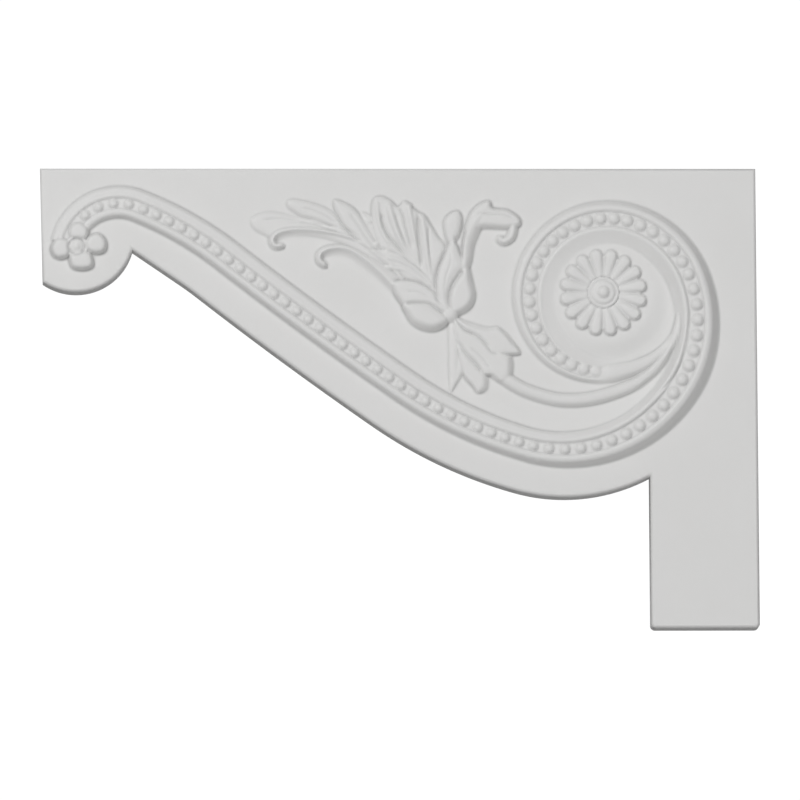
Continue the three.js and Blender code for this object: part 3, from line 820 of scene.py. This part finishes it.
def makeRelief():
    relief = Relief()
    makeScroll(relief)
    makePearls(relief)
    makeVolute(relief)
    makeRosette(relief)
    makeFlower(relief)
    makeSpray(relief)
    relief.height = smoothed(relief.height, cells["softening"])
    return relief


# Outline of the plate: lobe, lower edge along the scroll, foot and straight sides
def outlinePoints():
    spacing = plate["pointSpacing"]
    left = -plate["width"] / 2
    right = plate["width"] / 2
    bottom = plate["top"] - plate["height"]
    footLeft = right - plate["footWidth"]
    lobeX, lobeZ = plate["lobeCentre"]
    radius = plate["lobeRadius"]

    edge = []
    for arc in scrollArcs()[1:5]:
        begin = max(0, plate["straightFrom"] - arc["begin"])
        steps = max(3, math.ceil((arc["length"] - begin) / spacing))
        for i in range(steps):
            heading = arc["heading"] + (begin + (arc["length"] - begin) * i / steps) / arc["radius"]
            if not edge:
                straight = heading
            reach = arc["radius"] + plate["margin"]
            edge.append(onArc(arc["centre"], reach, heading))
    lead = plate["straightLead"] * np.array([math.cos(straight), math.sin(straight)])
    led = np.linspace(edge[0] - lead, edge[0], plate["leadPoints"], endpoint=False)
    edge = np.vstack([led, edge])
    fromLobe = np.hypot(edge[:, 0] - lobeX, edge[:, 1] - lobeZ)
    first = int(np.argmax(fromLobe > radius))
    share = (radius - fromLobe[first - 1]) / (fromLobe[first] - fromLobe[first - 1])
    notch = edge[first - 1] + (edge[first] - edge[first - 1]) * share
    last = int(np.argmax(edge[:, 0] > footLeft))
    share = (footLeft - edge[last - 1, 0]) / (edge[last, 0] - edge[last - 1, 0])
    heel = edge[last - 1] + (edge[last] - edge[last - 1]) * share

    corner = left + plate["lean"]
    begin = -math.acos((corner - lobeX) / radius)
    end = math.atan2(notch[1] - lobeZ, notch[0] - lobeX)
    turns = np.linspace(begin, end, math.ceil((end - begin) * radius / spacing) + 1)
    points = [(left, plate["top"])]
    points += [(lobeX + radius * math.cos(turn), lobeZ + radius * math.sin(turn)) for turn in turns]
    points += [tuple(point) for point in edge[first:last]] + [tuple(heel)]
    r = plate["footCorner"]
    for centreX, start in ((footLeft + r, 180), (right - r, 270)):
        for degrees in range(start, start + 91, plate["cornerStep"]):
            turn = math.radians(degrees)
            points.append((centreX + r * math.cos(turn), bottom + r + r * math.sin(turn)))
    points.append((right, plate["top"]))
    return points


def meshObject(name, bm):
    mesh = bpy.data.meshes.new(name)
    bm.to_mesh(mesh)
    bm.free()
    made = bpy.data.objects.new(name, mesh)
    scene.collection.objects.link(made)
    return made


def partsOf(result, kind):
    return [part for part in result["geom"] if isinstance(part, kind)]


blank = dict(
    overlap=0.15,  # the blank's front stands this much over the field, which then cuts it off
    inset=0.6,  # how far the block stands in from where the rounding ends
    block=20.0,  # how far the block stands out from the back
)


def makeBlank():
    # the plate with its rounded edges, and a block over its middle for the carving
    bm = bmesh.new()
    corners = [bm.verts.new((x * mm, 0, z * mm)) for x, z in outlinePoints()]
    back = bm.faces.new(corners)
    front = bmesh.ops.extrude_face_region(bm, geom=[back])
    raised = partsOf(front, bmesh.types.BMVert)
    thickness = plate["depth"] + blank["overlap"]
    bmesh.ops.translate(bm, verts=raised, vec=(0, -thickness * mm, 0))
    face = partsOf(front, bmesh.types.BMFace)[0]
    bmesh.ops.bevel(bm, geom=list(face.edges), offset=(plate["rounding"] + blank["overlap"]) * mm,
                    offset_type="OFFSET", affect="EDGES", segments=plate["roundingSegments"],
                    profile=0.5, material=-1, clamp_overlap=False)
    face = max((each for each in bm.faces if each.calc_center_median().y < -plate["depth"] * mm),
               key=lambda each: each.calc_area())
    inset = blank["inset"] * mm
    bmesh.ops.inset_individual(bm, faces=[face], thickness=inset, use_even_offset=True)
    block = bmesh.ops.extrude_face_region(bm, geom=[face])
    raised = partsOf(block, bmesh.types.BMVert)
    bmesh.ops.translate(bm, verts=raised, vec=(0, -(blank["block"] - thickness) * mm, 0))
    bmesh.ops.delete(bm, geom=[face], context="FACES_ONLY")
    bmesh.ops.recalc_face_normals(bm, faces=bm.faces)
    return meshObject("blank", bm)


carving = dict(
    coarse=1.38,  # millimetres to a cell of the bare field
    cuts=2,  # each cell with carving in it is divided this often each way
    margin=1.0,
    least=0.004,  # a lower rise than this counts as bare
    inside=0.5,  # how far the front ends short of the relief's cells
    slab=2.0,  # how far it goes behind the plate's back before the cut
    weld=0.002,
    smoothFrom=8.0,  # edges further out than this from the back are always smooth
    sharpAngle=35,
)


def makeCarving(relief):
    reach = cells["reach"] - carving["inside"]
    width = plate["width"] + 2 * reach
    height = plate["height"] + 2 * reach
    columns = round(width / carving["coarse"])
    rows = round(height / carving["coarse"])
    bm = bmesh.new()
    bmesh.ops.create_grid(bm, x_segments=columns, y_segments=rows, size=0.5)
    middle = plate["top"] - plate["height"] / 2
    for vert in bm.verts:
        vert.co = Vector((vert.co.x * width, 0, middle + vert.co.y * height))

    # cells near any carving
    near = relief.height > carving["least"]
    spread = int(carving["margin"] / cells["step"]) + 1
    for axis in (0, 1):
        grown = near.copy()
        for shift in range(1, spread + 1):
            grown |= np.roll(near, shift, axis) | np.roll(near, -shift, axis)
        near = grown
    counted = np.pad(near.cumsum(0).cumsum(1), ((1, 0), (1, 0)))
    busy = []
    half = carving["coarse"] / 2
    most = np.array((len(relief.x), len(relief.z)))
    for face in bm.faces:
        centre = face.calc_center_median()
        column = (centre.x - half - relief.x[0]) / cells["step"]
        row = (centre.z - half - relief.z[0]) / cells["step"]
        low = np.clip((column, row), 0, most - 1).astype(int)
        high = np.clip(low + int(2 * half / cells["step"]) + 1, 0, most)
        total = (counted[high[1], high[0]] - counted[low[1], high[0]]
                 - counted[high[1], low[0]] + counted[low[1], low[0]])
        if total:
            busy.append(face)
    edges = list({edge for face in busy for edge in face.edges})
    bmesh.ops.subdivide_edges(bm, edges=edges, cuts=carving["cuts"], use_grid_fill=True)

    bm.verts.ensure_lookup_table()
    places = np.array([(vert.co.x, vert.co.z) for vert in bm.verts])
    heights = relief.at(places[:, 0], places[:, 1])
    for vert, raised in zip(bm.verts, heights):
        vert.co = Vector((vert.co.x * mm, -(plate["depth"] + raised) * mm, vert.co.z * mm))

    # a slab behind the carved front
    rim = [edge for edge in bm.edges if edge.is_boundary]
    sides = bmesh.ops.extrude_edge_only(bm, edges=rim)
    for vert in partsOf(sides, bmesh.types.BMVert):
        vert.co.y = carving["slab"] * mm
    backEdges = [edge for edge in partsOf(sides, bmesh.types.BMEdge)
                 if all(vert.co.y > carving["slab"] / 2 * mm for vert in edge.verts)]
    bmesh.ops.holes_fill(bm, edges=backEdges, sides=0)
    bmesh.ops.recalc_face_normals(bm, faces=bm.faces)
    print("carved front:", len(bm.faces), "faces")
    return meshObject("bracket_moulding", bm)


def carveBracket(relief):
    # the carved front cut to the plate's outline
    bracket = makeCarving(relief)
    outline = makeBlank()
    cut = bracket.modifiers.new("outline", "BOOLEAN")
    cut.operation = "INTERSECT"
    cut.solver = "MANIFOLD"
    cut.object = outline
    evaluated = bracket.evaluated_get(bpy.context.evaluated_depsgraph_get())
    carved = bpy.data.meshes.new_from_object(evaluated)
    bracket.modifiers.clear()
    bracket.data = carved
    bpy.data.objects.remove(outline)

    bm = bmesh.new()
    bm.from_mesh(carved)
    bmesh.ops.remove_doubles(bm, verts=bm.verts, dist=carving["weld"] * mm)
    bmesh.ops.dissolve_degenerate(bm, edges=bm.edges, dist=carving["weld"] * mm)
    for face in bm.faces:
        face.smooth = True
    for edge in bm.edges:
        if min(vert.co.y for vert in edge.verts) > -carving["smoothFrom"] * mm:
            edge.smooth = edge.calc_face_angle(0) < math.radians(carving["sharpAngle"])
    print("bracket:", sum(len(face.verts) - 2 for face in bm.faces), "triangles,",
          sum(not edge.is_manifold for edge in bm.edges), "open edges")
    bm.to_mesh(carved)
    bm.free()
    return bracket


# Painted shade: how far each place lies under what surrounds it, for the darker colour painted into
# the creases where shade falls
shadeInHollows = dict(
    rounds=16,
    least=0.03,
    deep=0.5,  # from this depth on the painted shade is at its darkest
    slack=0.05,  # how far a place may lie under the plate's front and still count
)


def addShadeInHollows(bracket, relief):
    wide = smoothed(relief.height, shadeInHollows["rounds"])
    under = np.clip((wide - relief.height - shadeInHollows["least"]) / shadeInHollows["deep"], 0, 1)
    places = np.empty(len(bracket.data.vertices) * 3)
    bracket.data.vertices.foreach_get("co", places)
    places = places.reshape(-1, 3) / mm
    values = relief.at(places[:, 0], places[:, 2], under)
    values = np.where(places[:, 1] < -plate["depth"] + shadeInHollows["slack"], values, 0)
    # the mask that paints shade into the creases
    layer = bracket.data.attributes.new("hollow", "FLOAT", "POINT")
    layer.data.foreach_set("value", values)


class Node:
    # a socket of the material's tree, with the operators that the maths uses
    tree = None

    def __init__(self, socket):
        self.socket = socket

    @classmethod
    def make(cls, kind, settings=None, output=0, **inputs):
        node = cls.tree.nodes.new(kind)
        for name, value in (settings or {}).items():
            setattr(node, name, value)
        for name, value in inputs.items():
            key = int(name[1:]) if name[1:].isdigit() else name  # i0 is the first input
            if isinstance(value, Node):
                cls.tree.links.new(value.socket, node.inputs[key])
            else:
                node.inputs[key].default_value = value
        return cls(node.outputs[output])

    def maths(self, operation, other):
        return Node.make("ShaderNodeMath", dict(operation=operation), i0=self, i1=other)

    def __add__(self, other):
        return self.maths("ADD", other)

    def __sub__(self, other):
        return self.maths("SUBTRACT", other)

    def __mul__(self, other):
        return self.maths("MULTIPLY", other)

    __radd__ = __add__
    __rmul__ = __mul__


primer = dict(
    body=(0.82, 0.818, 0.812, 1),
    thin=(0.785, 0.782, 0.772, 1),  # where the coat lies thinner
    paintedShade=(0.56, 0.56, 0.555, 1),  # painted shade in the creases
    mottle=dict(Scale=38.0, Detail=3.0),
    grain=dict(Scale=2600.0, Detail=2.0),
    ripple=dict(Scale=170.0, Detail=1.0),
    rippleShare=0.4,
    grainHeight=0.00002,  # metres
    roughness=0.56,
    roughnessSpread=0.12,
    hollowRoughness=0.1,
    specular=0.35,
)


def mixedColours(share, low, high):
    settings = dict(data_type="RGBA")
    return Node.make("ShaderNodeMix", settings, output=2, i0=share, i6=low, i7=high)


def makePrimer():
    material = bpy.data.materials.new("white primer")
    material.use_nodes = True
    Node.tree = material.node_tree
    shader = material.node_tree.nodes["Principled BSDF"]
    place = Node.make("ShaderNodeTexCoord", output=3)  # object coordinates
    mottle, grain, ripple = (Node.make("ShaderNodeTexNoise", Vector=place, **primer[name])
                             for name in ("mottle", "grain", "ripple"))
    hollow = Node.make("ShaderNodeAttribute", dict(attribute_name="hollow"), output=2)
    coat = mixedColours(mottle, primer["thin"], primer["body"])
    # the creases are painted darker, as shade
    colour = mixedColours(hollow, coat, primer["paintedShade"])
    roughness = primer["roughness"] + primer["roughnessSpread"] * (mottle - 0.5)
    roughness += hollow * primer["hollowRoughness"]
    bump = Node.make("ShaderNodeBump", Strength=1.0, Distance=primer["grainHeight"],
                     Height=grain + primer["rippleShare"] * ripple)
    links = material.node_tree.links
    links.new(colour.socket, shader.inputs["Base Color"])
    links.new(roughness.socket, shader.inputs["Roughness"])
    links.new(bump.socket, shader.inputs["Normal"])
    shader.inputs["Specular IOR Level"].default_value = primer["specular"]
    return material


relief = makeRelief()
print("relief worked out")
bracket = carveBracket(relief)
addShadeInHollows(bracket, relief)
bracket.data.materials.clear()
bracket.data.materials.append(makePrimer())
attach(bracket, "root")
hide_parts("bracket")
print("bracket finished")
